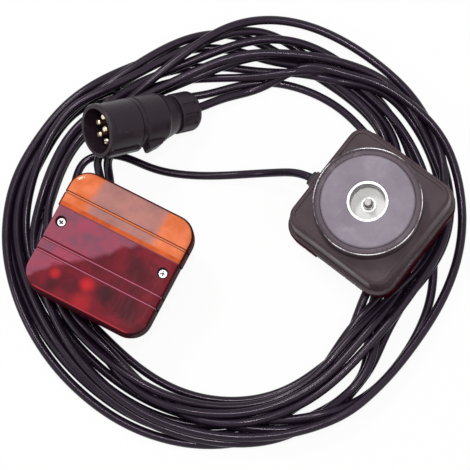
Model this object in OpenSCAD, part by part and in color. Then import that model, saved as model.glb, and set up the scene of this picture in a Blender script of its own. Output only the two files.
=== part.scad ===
// Magnetic trailer light kit: two rear lamps on pot magnets, a link cord, and a long main
// cord wound into a ring and ended in a seven pin plug, laid out as they rest on a floor.
// Lamp frame: z = 0 is the working face of the magnet, +z runs to the front of the lens,
// +y points to the amber end. Plug frame: z = 0 is the end of the gland, +z the pins.

/* [Lens] */
// Width of the lens over its amber half
lens_w = 105; // [96:0.5:116]
// Length of the lens from the amber edge to the red edge
lens_l = 100; // [94:0.5:112]
// Height of the lens from its seal to its front
lens_h = 19.5; // [17:0.5:24]
// Wall of the lens
lens_wall = 2.4; // [1.8:0.1:3]
// How much narrower the red half is, both sides together
red_step = 2; // [0:0.2:3]
// Radius of the lens corners, seen from the front
lens_corner = 17; // [14:0.5:20]
// Radius of the edge round the front of the lens
lens_edge = 5; // [3.5:0.5:6.5]
// Length of the amber half
amber_l = 34; // [30:0.5:38]
// Distance of the amber groove from the amber edge
amber_groove_at = 23; // [19:0.5:26]
// Distance of the recessed red strip from the amber edge
strip_at = 61; // [58:0.5:64]
// Width of the recessed red strip, between its two grooves
strip_l = 11; // [8:0.5:14]
// Width of a groove in the lens
groove_w = 1.6; // [1:0.1:2.4]
// Depth of a groove in the lens
groove_d = 0.9; // [0.5:0.1:1.3]
// Distance between the two lens screws
screw_span = 86; // [80:0.5:88]
// Distance of the lens screws from the amber edge
screw_at = 45.5; // [43:0.5:50]
// Depth of the counterbores that the screw heads sit in
counterbore_d = 6; // [4:0.5:10]

/* [Housing] */
// How much narrower the back plate is than the lens
plate_in_w = 11; // [7:0.5:15]
// How much shorter the back plate is than the lens
plate_in_l = 8; // [6:0.5:12]
// Depth of the housing from its back to its rim
housing_h = 27; // [25:0.5:32]
// Wall of the housing
housing_wall = 2.5; // [2:0.1:3]
// Thickness of the back plate
plate_t = 3; // [2.5:0.1:4]
// Thickness of the rim that carries the seal
rim_t = 2.5; // [2:0.1:3.5]
// How far the rim stays inside the lens edge
rim_inset = 1; // [0.5:0.1:1.5]
// Radius of the corners of the back plate
plate_corner = 12; // [9:0.5:15]
// Thickness of the seal, pressed down
gasket_t = 1.5; // [1:0.1:2.5]

/* [Magnet] */
// Outer radius of the magnet cup
cup_r = 41; // [38:0.2:41.6]
// Height of the magnet cup
cup_h = 17; // [15:0.5:22]
// Wall of the magnet cup
cup_wall = 1.8; // [1.4:0.1:2.4]
// Thickness of the cup floor
cup_floor = 2.5; // [2:0.1:3.5]
// Width of the resin ring between the ferrite and the cup
potting_w = 3.7; // [3.2:0.1:6]
// Radius of the bore of the ferrite ring
ferrite_bore = 15.5; // [14:0.2:17]
// Wall of the bright sleeve in the ferrite bore
sleeve_wall = 2; // [1:0.1:2.6]
// Radius of the bolt that holds the magnet
bolt_r = 2.5; // [2:0.1:3]
// Width across the flats of the magnet nut
nut_af = 8; // [7:0.5:10]

/* [Bulbs] */
// Radius of the glass of a bulb
glass_r = 12.5; // [11:0.1:12.8]
// Radius of the cap of a bulb
cap_r = 7.5; // [7:0.1:8]
// Length of the cap of a bulb
cap_l = 18; // [16:0.5:20]

/* [Plug] */
// Length of the plug from the gland to the front rim
plug_l = 92; // [88:0.5:98]
// Outer radius of the plug shell
shell_r = 20; // [19:0.1:20.5]
// Outer radius of the gland nut
gland_r = 16; // [15:0.1:17]
// Length of the gland nut
gland_l = 20; // [18:0.5:22]
// Radius of a contact pin
pin_r = 2.5; // [2:0.1:2.8]
// Radius of the circle on which the six outer pins stand
pin_circle = 9.5; // [9:0.1:10.5]
// How steeply the plug leans on the leads below it
plug_lean = 33; // [31.5:0.5:35]

/* [Cords] */
// Diameter of the seven core main cord
main_d = 7; // [6.4:0.1:7.2]
// Diameter of the five core link cord
link_d = 6.5; // [6:0.1:6.8]
// Outer radius of the wound ring
coil_r = 182; // [170:1:190]
// Radius of the open middle of the ring
coil_bore = 126; // [124:0.5:128]
// Height of the wound ring
coil_h = 14; // [12:0.2:14.2]

/* [Hidden] */
$fn = 64;

// Clearance between pieces that drop into each other, and between pressed ones
loose = 0.3;
snug = 0.05;
slab = 0.02;

// How far the sides of the lens lean in on their way to the front
lens_draught = 0.4;

// Heights in the lamp frame
rim_z = cup_h + housing_h;
lens_z = rim_z + gasket_t;
front_z = lens_z + lens_h;
plate_in_z = cup_h + plate_t;
red_w = lens_w - red_step;
rim_w = lens_w - 2 * rim_inset;
rim_l = lens_l - 2 * rim_inset;
rim_corner = lens_corner - rim_inset;
plate_w = lens_w - plate_in_w;
plate_l = lens_l - plate_in_l;
body_w = rim_w - 5;
body_l = rim_l - 4;
joint_y = lens_l / 2 - amber_l;
screw_y = lens_l / 2 - screw_at;
screw_x = screw_span / 2;

// Lens screws
screw_r = 1.9;
screw_head_r = 3.6;
screw_head_h = 2.6;
screw_l = 30;
pillar_r = 6.3;
tower_r = 4.4;
head_z = front_z - counterbore_d;

// Magnet
ferrite_r = cup_r - cup_wall - potting_w;
sleeve_r = ferrite_bore - snug;
sleeve_bore = sleeve_r - sleeve_wall;
recess_floor = cup_h - cup_floor;
nut_h = 4;
washer_r = 5.5;
washer_t = 1;
bolt_end = 3.5;
head_af = 8;
head_h = 3.4;

// Back plate border: a raised line near the edge of the plate
border_in = 2.4;
border_w = 1.4;
border_h = 1;

// Reflector tray
tray_z = plate_in_z + head_h + 0.8;
tray_t = 1.6;
tray_w = 2 * (screw_x + 1);
tray_y0 = -(plate_l / 2 - 3);
tray_y1 = plate_l / 2 - 7.6;
tray_corner = 12;
tray_top = tray_z + tray_t + 2.6;
wall_t = 1.6;

// Bulbs lie across the lamp, each in a holder at its left end
bulb_z = tray_z + tray_t + glass_r + 2;
indicator_y = joint_y + wall_t / 2 + glass_r + 1.2;
tail_y = -16;
holder_x = -31;
holder_wall = 2;
holder_end = 2;
holder_l = 17;
holder_bore = cap_r + snug;
holder_r = holder_bore + holder_wall;
cap_x = holder_x + holder_end + snug;
glass_x = cap_x + cap_l + glass_r + 2;
foot_w = 12;
strip_w = 5;
strip_t = 0.8;

// Cord entries in the amber side of the housing
entry_out = 2.5;
entry_y = plate_l / 2 + entry_out;
entry_z = cup_h + 13.5;
entry_z_b = cup_h + 10.5;
entry_main_x = -29;
entry_link_x = -37;
entry_b_x = 8;
flange_t = 2.5;
flange_wall = 2.6;
inner_flange_wall = 1.3;
neck_wall = 0.9;
entry_depth = 6.5;
bead_t = 1.4;

// Lamp A lies on its magnet, lens up
lamp_a_at = [-94, -27, 0];
lamp_a_turn = -27.2;

// Lamp B lies on its lens, which leans on the ring at one side
lamp_b_at = [98.5, 10.2];
lamp_b_turn = 231.2;
lamp_b_tilt = 9;
// Reach of the lens front towards its low corner, less the round of its edge
low_x = abs(cos(lamp_b_turn)) * (lens_w / 2 - lens_corner);
low_y = abs(sin(lamp_b_turn)) * (lens_l / 2 - lens_corner);
low_reach = low_x + low_y + lens_corner - lens_edge - lens_draught;
lamp_b_z = (front_z - lens_edge) * cos(lamp_b_tilt) + low_reach * sin(lamp_b_tilt) + lens_edge;

// Plug: its gland touches the floor, its barrel leans on the crossing leads
plug_turn = 203.3;
gland_round = 5;
plug_end_z = (gland_r - gland_round) * cos(plug_lean) + gland_round * (1 - sin(plug_lean));
plug_end = [-34.3, 97.7, plug_end_z];
neck_r = gland_r - 3;
neck_bore = neck_r - 3.3;
neck_from = 5.5;
seal_to = 15;
cone_from = gland_l + loose;
cone_to = 36;
barrel_to = plug_l - 31;
barrel_wall = 2.6;
insert_from = barrel_to - 6;
insert_to = barrel_to + 8;
pin_to = plug_l - 7;
terminal_from = insert_from - 9;
terminal_r = pin_r + 0.9;

// Ring of cord: its outer circle, and its open middle, which lies off centre
coil_at = [-1, -3];
bore_at = [-15, -4];
coil_round = 5;
bore_step_z = 6;
bore_top_r = coil_bore + 24;

// Moves the kit so that its origin lies below the middle of the two lamps
centre = [7.1, -6.8];

// Routes of the leads, chosen by hand, from the lamp or the gland to the ring
main_route = [
    [-96.5, 31.7, 30.5], [-97, 38, 29.8], [-98.9, 45.5, 26.2], [-100.8, 52.5, 19.8],
    [-100, 59, 13.8], [-97.8, 65, 10.9], [-93.5, 71, 10.6], [-86.5, 76.8, 10.4],
    [-79, 82, 10.2], [-74.5, 88.5, 10.2], [-73.5, 96.5, 9.4], [-76, 104, 8.4],
    [-80.2, 109.2, 7.8]
];
link_route = [
    [-103.6, 35.3, 30.5], [-104.8, 41.3, 28.4], [-107.6, 47.5, 24], [-108.9, 54, 18],
    [-107.8, 60, 13.5], [-105.3, 66, 10.4], [-100.5, 72.5, 6.6], [-92, 77.5, 3.6],
    [-82, 81, 3.3], [-71, 86, 3.3], [-62, 95.5, 3.3], [-54, 105.3, 3.3],
    [-44, 110.7, 3.3], [-33, 111, 3.3], [-22, 112.8, 3.3], [-10, 116.6, 3.3], [4, 120.6, 3.3]
];
lamp_b_route = [
    [-124, 57.6, 3.3], [-116, 61.4, 3.3], [-107, 63.6, 3.3], [-98, 64, 3.3],
    [-89.5, 62.4, 3.3], [-80, 58.6, 3.3], [-67, 51.8, 3.3], [-50, 47.6, 3.3],
    [-30, 45.8, 3.4], [-10, 45.8, 4.4], [8, 46.2, 7.6], [22, 45.8, 13],
    [33, 44.6, 20.5], [43, 43, 29.5], [51.6, 40.6, 36.6], [58.6, 36, 39.4]
];
plug_route = [
    [-34.3, 97.7, 11.5], [-28.4, 100.3, 8.4], [-21, 104, 6.6], [-13, 108.4, 5.6],
    [-3, 111.3, 4.6], [8, 114, 3.8], [19.6, 117.2, 3.5]
];
tube_sides = 8;

// Plain shapes
module round_rect(w, l, r) {
    square([w - 2 * r, l], center = true);
    square([w, l - 2 * r], center = true);
    for (x = [-1, 1], y = [-1, 1])
        translate([x * (w / 2 - r), y * (l / 2 - r)]) circle(r = r);
}

module round_plate(w, l, r, z, t) translate([0, 0, z]) linear_extrude(t) round_rect(w, l, r);

// Outline between two radii
module ring(outer, inner, h) difference() {
    cylinder(r = outer, h = h);
    translate([0, 0, -1]) cylinder(r = inner, h = h + 2);
}

module lamp_a() translate([-centre[0], -centre[1], 0] + lamp_a_at) rotate(lamp_a_turn) children();

module lamp_b() translate([lamp_b_at[0] - centre[0], lamp_b_at[1] - centre[1], lamp_b_z])
    rotate([0, -lamp_b_tilt, 0]) rotate(lamp_b_turn) rotate([180, 0, 0]) children();

module plug() translate([-centre[0], -centre[1], 0] + plug_end)
    rotate(plug_turn) rotate([0, 90 - plug_lean, 0]) children();

// Lens form: draughted sides and a round edge at the front; inset shrinks it on every side
module lens_form(w, inset) {
    edge = max(lens_edge - inset, 1);
    top = lens_h - inset;
    hull() {
        translate([0, 0, inset > 0 ? -1 : 0]) linear_extrude(slab)
            round_rect(w - 2 * inset, lens_l - 2 * inset, lens_corner - inset, $fn = 40);
        for (a = [0 : 22.5 : 90]) {
            in = inset + lens_draught + edge * (1 - cos(a));
            translate([0, 0, top - edge * (1 - sin(a)) - slab]) linear_extrude(slab)
                round_rect(w - 2 * in, lens_l - 2 * in, lens_corner - in, $fn = 40);
        }
    }
}

// Wall of the lens between two places along it, with bands sunk to a depth
module lens_shell(w, y0, y1, bands, depth) intersection() {
    difference() {
        lens_form(w, 0);
        lens_form(w, lens_wall);
        difference() {
            for (b = bands)
                translate([-w, b[0], lens_wall]) cube([2 * w, b[1] - b[0], lens_h]);
            lens_form(w, depth);
        }
    }
    translate([-w, y0, -2]) cube([2 * w, y1 - y0, lens_h + 4]);
}

function from_edge(d) = lens_l / 2 - d;

module lens_amber() color("darkorange") translate([0, 0, lens_z])
    lens_shell(lens_w, joint_y, lens_l, [
        [from_edge(amber_groove_at) - groove_w / 2, from_edge(amber_groove_at) + groove_w / 2]
    ], groove_d);

module lens_red() color("firebrick") translate([0, 0, lens_z]) difference() {
    union() {
        lens_shell(red_w, -lens_l, joint_y, [
            [from_edge(strip_at) - groove_w, from_edge(strip_at)],
            [from_edge(strip_at + strip_l), from_edge(strip_at + strip_l) + groove_w]
        ], groove_d);
        for (x = [-screw_x, screw_x])
            translate([x, screw_y, 0]) cylinder(r = pillar_r, h = lens_h - lens_wall / 2);
    }
    for (x = [-screw_x, screw_x]) translate([x, screw_y, 0]) {
        translate([0, 0, -1]) cylinder(r = screw_r + loose, h = lens_h + 2);
        translate([0, 0, lens_h - counterbore_d]) cylinder(r = screw_head_r + loose, h = lens_h);
    }
}

module lens_gasket() color("dimgray") difference() {
    round_plate(rim_w, rim_l, rim_corner, rim_z, gasket_t);
    round_plate(rim_w - 6.5, rim_l - 6.5, rim_corner - 3.25, rim_z - 1, gasket_t + 2);
}

// Cord entry: a flat boss on the amber side, and the hole for the grommet's neck
module entry_boss(x, z, d) {
    r = d / 2 + flange_wall + 0.6;
    translate([x - r, entry_y - entry_depth, z - r]) cube([2 * r, entry_depth, 2 * r]);
}

module along_y(x, y, z) translate([x, y, z]) rotate([-90, 0, 0]) children();

module entry_hole(x, z, d) along_y(x, entry_y - 12, z) cylinder(r = d / 2 + neck_wall + snug, h = 14);

// Housing: a tapered box with round edges at the back, screw towers and a flat rim
module housing(entries) color("#3a2b30") difference() {
    union() {
        hull() {
            round_plate(plate_w - 3.4, plate_l - 3.4, plate_corner - 1.7, cup_h, slab, $fn = 40);
            round_plate(plate_w - 1, plate_l - 1, plate_corner - 0.5, cup_h + 0.7, slab, $fn = 40);
            round_plate(plate_w, plate_l, plate_corner, cup_h + 2, slab, $fn = 40);
            round_plate(body_w, body_l, rim_corner - 2, rim_z - slab, slab, $fn = 40);
        }
        round_plate(rim_w, rim_l, rim_corner, rim_z - rim_t, rim_t);
        difference() {
            round_plate(plate_w - 2 * border_in, plate_l - 2 * border_in,
                plate_corner - border_in, cup_h - border_h, border_h + 1);
            round_plate(plate_w - 2 * border_in - 2 * border_w, plate_l - 2 * border_in - 2 * border_w,
                plate_corner - border_in - border_w, cup_h - border_h - 1, border_h + 3);
        }
        for (e = entries) entry_boss(e[0], e[1], e[2]);
    }
    difference() {
        hull() {
            round_plate(plate_w - 2 * housing_wall, plate_l - 2 * housing_wall,
                plate_corner - housing_wall, plate_in_z, slab, $fn = 40);
            round_plate(body_w - 2 * housing_wall, body_l - 2 * housing_wall,
                rim_corner - 2 - housing_wall, rim_z + 1, slab, $fn = 40);
        }
        for (x = [-screw_x, screw_x])
            translate([x, screw_y, plate_in_z - 1]) cylinder(r = tower_r, h = housing_h);
        for (e = entries) entry_boss(e[0], e[1], e[2]);
    }
    for (x = [-screw_x, screw_x])
        translate([x, screw_y, plate_in_z + 1]) cylinder(r = screw_r + snug, h = housing_h);
    for (e = entries) entry_hole(e[0], e[1], e[2]);
    translate([0, 0, cup_h - 1]) cylinder(r = bolt_r + loose, h = plate_t + 2);
}

entries_a = [[entry_main_x, entry_z, main_d], [entry_link_x, entry_z, link_d]];
entries_b = [[entry_b_x, entry_z_b, link_d]];

// Grommet: a flange outside, a bead inside, a neck between, one bore for each cord
module grommet(entries) color("#262028") difference() {
    union() for (e = entries) {
        along_y(e[0], entry_y + snug, e[1]) cylinder(r = e[2] / 2 + flange_wall, h = flange_t);
        along_y(e[0], entry_y - entry_depth - bead_t / 2, e[1])
            cylinder(r = e[2] / 2 + neck_wall, h = entry_depth + flange_t);
        along_y(e[0], entry_y - entry_depth - snug - bead_t, e[1])
            cylinder(r = e[2] / 2 + inner_flange_wall, h = bead_t);
    }
    for (e = entries)
        along_y(e[0], entry_y - 20, e[1]) cylinder(r = e[2] / 2 + snug, h = 30);
}

// Reflector tray: floor, low wall, and the wall that parts the two lights
module reflector_tray() color("gainsboro") difference() {
    union() {
        tray_block(0, tray_z, tray_top);
        translate([-tray_w / 2 + 4, joint_y - wall_t / 2, tray_z])
            cube([tray_w - 8, wall_t, lens_z + lens_h - lens_wall - groove_d - tray_z]);
    }
    difference() {
        tray_block(wall_t, tray_z + tray_t, tray_top + 1);
        translate([-tray_w / 2, joint_y - wall_t / 2, tray_z]) cube([tray_w, wall_t, 2 * housing_h]);
    }
    for (x = [-screw_x, screw_x])
        translate([x, screw_y, tray_z - 1]) cylinder(r = tower_r + 0.8, h = housing_h);
    // Room for the feed strips and the cord cores to pass the floor
    translate([holder_x - 8, tray_y1 - 9, tray_z - 1]) cylinder(r = 3, h = tray_t + 2);
}

module tray_block(inset, z0, z1) {
    w = tray_w - 2 * inset;
    l = tray_y1 - tray_y0 - 2 * inset;
    translate([0, (tray_y0 + tray_y1) / 2, z0]) linear_extrude(z1 - z0)
        round_rect(w, l, tray_corner - inset);
}

module along_x(x, y) translate([x, y, bulb_z]) rotate([0, 90, 0]) children();

// Bulb holder: a socket on a foot, with a flange at its mouth
module bulb_holder(y) difference() {
    union() {
        along_x(holder_x, y) cylinder(r = holder_r, h = holder_l);
        along_x(holder_x + holder_l - 2, y) cylinder(r = holder_r + 1.2, h = 2);
        translate([holder_x, y - foot_w / 2, tray_z + tray_t])
            cube([holder_l, foot_w, bulb_z - tray_z - tray_t]);
    }
    along_x(holder_x + holder_end, y) cylinder(r = holder_bore, h = holder_l);
    along_x(holder_x - 1, y) cylinder(r = 2.5, h = holder_l);
    // Slot under the foot for the strip that feeds the holder
    translate([holder_x - 1, y - strip_w / 2 - snug, tray_z + tray_t - 1])
        cube([8, strip_w + 2 * snug, 1 + strip_t + snug]);
}

module indicator_holder() color("silver") bulb_holder(indicator_y);
module tail_holder() color("silver") bulb_holder(tail_y);

// Bulb: cap, neck and round glass in one profile
module bulb(y) along_x(cap_x, y) rotate_extrude() polygon(concat(
    [[0, 0], [2, 0], [2, 1.2], [cap_r - 1, 2], [cap_r, 3], [cap_r, cap_l], [cap_r - 0.6, cap_l + 1]],
    [for (a = [-50 : 10 : 90]) [glass_r * cos(a), glass_x - cap_x + glass_r * sin(a)]]
));

module indicator_bulb() color("orange") bulb(indicator_y);
module tail_bulb() color("whitesmoke") bulb(tail_y);

// Strip on the tray floor that joins both holders to earth
module earth_strip() color("goldenrod") {
    translate([holder_x + holder_l + loose, tail_y - 4, tray_z + tray_t])
        cube([strip_w, joint_y - wall_t / 2 - loose - tail_y + 4, strip_t]);
}

// Strips that feed the centre contact of each holder
module feed_strips() color("goldenrod") for (y = [tail_y, indicator_y])
    translate([holder_x - 8, y - strip_w / 2, tray_z + tray_t]) cube([14, strip_w, strip_t]);

module lens_screws() color("lightgray") for (x = [-screw_x, screw_x])
    translate([x, screw_y, head_z]) difference() {
        union() {
            cylinder(r = screw_head_r, h = screw_head_h);
            translate([0, 0, -screw_l]) cylinder(r = screw_r, h = screw_l + 1);
        }
        for (a = [0, 90]) rotate(a + 20) translate([-2.2, -0.4, screw_head_h - 1.2]) cube([4.4, 0.8, 2]);
    }

// Magnet: steel cup, ferrite ring set in resin, bright sleeve, bolt and nut
module magnet_cup() color("#4a4048") difference() {
    rotate_extrude($fn = 96) polygon([
        [0, recess_floor], [cup_r - cup_wall, recess_floor], [cup_r - cup_wall, 0],
        [cup_r - 0.4, 0], [cup_r, 0.4], [cup_r, cup_h - 2], [cup_r - 0.6, cup_h - 0.6],
        [cup_r - 2, cup_h], [0, cup_h]
    ]);
    translate([0, 0, recess_floor - 1]) cylinder(r = bolt_r + snug, h = cup_floor + 2);
}

module magnet_ring() color("#94889a") translate([0, 0, 0.3])
    rotate_extrude($fn = 96) polygon([
        [ferrite_bore, 0.6], [ferrite_bore + 0.6, 0], [ferrite_r - 1, 0], [ferrite_r, 1],
        [ferrite_r, recess_floor - 0.3], [ferrite_bore, recess_floor - 0.3]
    ]);

module magnet_potting() color("#57484f") translate([0, 0, 1])
    rotate_extrude($fn = 96) polygon([
        [ferrite_r, 0.6], [cup_r - cup_wall, 0], [cup_r - cup_wall, recess_floor - 1],
        [ferrite_r, recess_floor - 1]
    ]);

module magnet_sleeve() color("whitesmoke") translate([0, 0, 0.8])
    ring(sleeve_r, sleeve_bore, recess_floor - 0.8);

module magnet_bolt() color("silver") {
    translate([0, 0, plate_in_z]) cylinder(r = head_af / 2 / cos(30), h = head_h, $fn = 6);
    translate([0, 0, bolt_end]) cylinder(r = bolt_r, h = plate_in_z - bolt_end + 1);
}

module magnet_nut() color("gainsboro") difference() {
    union() {
        translate([0, 0, recess_floor - washer_t]) cylinder(r = washer_r, h = washer_t);
        translate([0, 0, recess_floor - washer_t - nut_h])
            cylinder(r = nut_af / 2 / cos(30), h = nut_h + 0.5, $fn = 6);
    }
    translate([0, 0, bolt_end]) cylinder(r = bolt_r + snug, h = recess_floor);
}

// Plug shell: the skirt round the pins, with its rim, key and latch lug
module plug_shell() color("#2a2230") difference() {
    union() {
        rotate_extrude($fn = 96) polygon([
            [10, barrel_to + snug], [shell_r - 0.6, barrel_to + snug], [shell_r, barrel_to + 0.6],
            [shell_r, plug_l - 5], [shell_r + 0.8, plug_l - 4], [shell_r + 0.8, plug_l - 1],
            [shell_r, plug_l], [10, plug_l]
        ]);
        // Key on the side that faces the viewer
        translate([-2.5, shell_r - 1, barrel_to + 1]) cube([5, 3.4, plug_l - barrel_to - 3]);
        // Latch lug on the far side
        rotate([0, 0, 180]) translate([-5, shell_r - 1, barrel_to + 6]) cube([10, 4, 7]);
    }
    translate([0, 0, barrel_to - 1]) cylinder(r = shell_r - barrel_wall, h = plug_l);
}

// Plug body: threaded neck, cone and barrel, with a ring seam and a finger lug
module plug_body() color("#2e2530") difference() {
    union() {
        rotate_extrude($fn = 96) polygon([
            [2, neck_from], [neck_r - 0.5, neck_from], [neck_r, neck_from + 0.5],
            [neck_r, cone_from], [neck_r + 1.4, cone_from + 0.4], [neck_r + 3.6, cone_from + 6],
            [shell_r - 1.4, cone_to - 2.4], [shell_r - 0.2, cone_to], [shell_r, cone_to + 2],
            [shell_r, barrel_to - 5], [shell_r - 0.8, barrel_to - 4.4],
            [shell_r - 0.8, barrel_to - 3], [shell_r, barrel_to - 2.4], [shell_r, barrel_to],
            [2, barrel_to]
        ]);
        // Finger lug with a sloped foot
        translate([-5, 0, cone_to + 2]) rotate([90, 0, 90]) linear_extrude(10)
            polygon([[shell_r - 1, 0], [shell_r + 3, 5], [shell_r + 5, 15], [shell_r + 4, 17], [shell_r - 1, 17]]);
    }
    translate([0, 0, neck_from - 1]) cylinder(r = neck_bore, h = seal_to - neck_from + 1);
    translate([0, 0, seal_to - 1]) cylinder(r = main_d / 2 + 1.5, h = cone_to);
    translate([0, 0, cone_to + 2]) cylinder(r = shell_r - barrel_wall, h = plug_l);
}

function pin_at(i) = i == 0 ? [0, 0] : pin_circle * [cos(60 * i), sin(60 * i)];

module plug_insert() color("#4b3a3a") difference() {
    translate([0, 0, insert_from]) cylinder(r = shell_r - barrel_wall - snug, h = insert_to - insert_from);
    for (i = [0 : 6]) translate([pin_at(i)[0], pin_at(i)[1], insert_from - 1])
        cylinder(r = pin_r + snug, h = insert_to);
}

// Pin: the part that stands out in front and its terminal behind the insert
module pin(i) translate([pin_at(i)[0], pin_at(i)[1], 0]) difference() {
    union() {
        translate([0, 0, terminal_from]) cylinder(r = pin_r, h = pin_to - 1 - terminal_from, $fn = 32);
        translate([0, 0, pin_to - 1]) cylinder(r1 = pin_r, r2 = pin_r - 0.8, h = 1, $fn = 32);
        translate([0, 0, terminal_from])
            cylinder(r = terminal_r, h = insert_from - snug - terminal_from, $fn = 32);
    }
    translate([0, 0, terminal_from - 1]) cylinder(r = pin_r - 1, h = 7, $fn = 32);
    pin_slot(i);
}

// Every second pin is split along its middle
module pin_slot(i) if (i % 2 == 1)
    rotate(60 * i) translate([-0.4, -2 * pin_r, insert_to + 4]) cube([0.8, 4 * pin_r, pin_to]);

module plug_solid_pins() color("khaki") for (i = [0, 2, 4, 6]) pin(i);
module plug_split_pins() color("khaki") for (i = [1, 3, 5]) pin(i);

// Terminal screws press sideways on the cores
module plug_terminal_screws() color("lightgray") for (i = [0 : 6])
    translate([pin_at(i)[0], pin_at(i)[1], terminal_from + 3]) rotate([0, 90, i == 0 ? 30 : 60 * i])
        translate([0, 0, terminal_r + snug]) cylinder(r = 1.3, h = 2, $fn = 24);

module plug_seal() color("#1c181e") translate([0, 0, neck_from])
    ring(neck_bore - snug, main_d / 2 + snug, seal_to - neck_from - snug);

// Gland nut: a round collar with finger grips, screwed over the neck
module plug_gland_nut() color("#2a2230") difference() {
    rotate_extrude($fn = 96) polygon(concat(
        [[2, 0]],
        [for (a = [-90 : 15 : 0]) gland_round * [cos(a), sin(a)] + [gland_r - gland_round, gland_round]],
        [for (a = [0 : 30 : 90]) [gland_r - 1.5 + 1.5 * cos(a), gland_l - 1.5 + 1.5 * sin(a)]],
        [[2, gland_l]]
    ));
    translate([0, 0, neck_from - snug]) cylinder(r = neck_r + snug, h = gland_l);
    translate([0, 0, -1]) cylinder(r = main_d / 2 + snug, h = gland_l);
    for (a = [0 : 30 : 330]) rotate(a) translate([gland_r + 0.6, 0, 6]) cylinder(r = 1.4, h = 12, $fn = 16);
}

// Ring of cord: a flat round ring whose open middle lies off its centre and flares upwards
module cable_coil() color("#262028") translate([-centre[0], -centre[1], 0]) difference() {
    translate([coil_at[0], coil_at[1], 0]) rotate_extrude($fn = 128) polygon(concat(
        [[coil_bore - 26, 0], [coil_r - coil_round, 0]],
        [for (a = [-90 : 30 : 0]) coil_round * [cos(a), sin(a)] + [coil_r - coil_round, coil_round]],
        [for (a = [0 : 30 : 90]) coil_round * [cos(a), sin(a)] + [coil_r - coil_round, coil_h - coil_round]],
        [[coil_bore - 26, coil_h]]
    ));
    translate([bore_at[0], bore_at[1], -1]) cylinder(r = coil_bore, h = coil_h + 2, $fn = 128);
    translate([bore_at[0], bore_at[1], bore_step_z])
        cylinder(r1 = coil_bore, r2 = bore_top_r, h = coil_h - bore_step_z + slab, $fn = 128);
    // Bed that the front of lamp B presses into the ring
    translate([centre[0], centre[1], 0]) lamp_b()
        translate([-lens_w / 2 - loose, -lens_l / 2 - loose, 0])
            cube([lens_w + 2 * loose, lens_l + 2 * loose, front_z + loose]);
}

// Tube along a route: a ring of points square to the route at each of its points
function unit(v) = v / norm(v);
function heading(p, i) = unit(p[min(i + 1, len(p) - 1)] - p[max(i - 1, 0)]);
function side(t) = unit(cross(t, [0, 0, 1]));
function tube_ring(c, t, r) = [for (k = [0 : tube_sides - 1])
    let (a = 360 * (k + 0.5) / tube_sides, s = side(t)) c + r * (cos(a) * s + sin(a) * cross(s, t))];
function tube_wall(rings) = [for (i = [0 : rings - 2], k = [0 : tube_sides - 1])
    let (a = i * tube_sides + k, b = i * tube_sides + (k + 1) % tube_sides)
    [a, b, b + tube_sides, a + tube_sides]];
function tube_caps(rings) = [
    [for (k = [tube_sides - 1 : -1 : 0]) k],
    [for (k = [0 : tube_sides - 1]) (rings - 1) * tube_sides + k]
];

module tube(route, d) color("#262028") translate([-centre[0], -centre[1], 0])
    polyhedron(
        points = [for (i = [0 : len(route) - 1]) each tube_ring(route[i], heading(route, i), d / 2)],
        faces = concat(tube_wall(len(route)), tube_caps(len(route)))
    );

module plug_lead() tube(plug_route, main_d);
module lamp_a_main_lead() tube(main_route, main_d);
module lamp_a_link_lead() tube(link_route, link_d);
module lamp_b_lead() tube(lamp_b_route, link_d);

lamp_a() lens_amber();  // lens_amber_a
lamp_a() lens_red();  // lens_red_a
lamp_a() lens_gasket();  // lens_gasket_a
lamp_a() housing(entries_a);  // housing_a
lamp_a() reflector_tray();  // reflector_tray_a
lamp_a() indicator_holder();  // indicator_holder_a
lamp_a() tail_holder();  // tail_holder_a
lamp_a() indicator_bulb();  // indicator_bulb_a
lamp_a() tail_bulb();  // tail_bulb_a
lamp_a() earth_strip();  // earth_strip_a
lamp_a() feed_strips();  // feed_strips_a
lamp_a() lens_screws();  // lens_screws_a
lamp_a() grommet(entries_a);  // grommet_a
lamp_a() magnet_cup();  // magnet_cup_a
lamp_a() magnet_ring();  // magnet_ring_a
lamp_a() magnet_potting();  // magnet_potting_a
lamp_a() magnet_sleeve();  // magnet_sleeve_a
lamp_a() magnet_bolt();  // magnet_bolt_a
lamp_a() magnet_nut();  // magnet_nut_a
lamp_b() lens_amber();  // lens_amber_b
lamp_b() lens_red();  // lens_red_b
lamp_b() lens_gasket();  // lens_gasket_b
lamp_b() housing(entries_b);  // housing_b
lamp_b() reflector_tray();  // reflector_tray_b
lamp_b() indicator_holder();  // indicator_holder_b
lamp_b() tail_holder();  // tail_holder_b
lamp_b() indicator_bulb();  // indicator_bulb_b
lamp_b() tail_bulb();  // tail_bulb_b
lamp_b() earth_strip();  // earth_strip_b
lamp_b() feed_strips();  // feed_strips_b
lamp_b() lens_screws();  // lens_screws_b
lamp_b() grommet(entries_b);  // grommet_b
lamp_b() magnet_cup();  // magnet_cup_b
lamp_b() magnet_ring();  // magnet_ring_b
lamp_b() magnet_potting();  // magnet_potting_b
lamp_b() magnet_sleeve();  // magnet_sleeve_b
lamp_b() magnet_bolt();  // magnet_bolt_b
lamp_b() magnet_nut();  // magnet_nut_b
plug() plug_shell();
plug() plug_body();
plug() plug_insert();
plug() plug_solid_pins();
plug() plug_split_pins();
plug() plug_terminal_screws();
plug() plug_seal();
plug() plug_gland_nut();
cable_coil();
plug_lead();
lamp_a_main_lead();
lamp_a_link_lead();
lamp_b_lead();
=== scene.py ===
import math

import bpy
import numpy as np
from mathutils import Matrix, Vector


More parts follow.
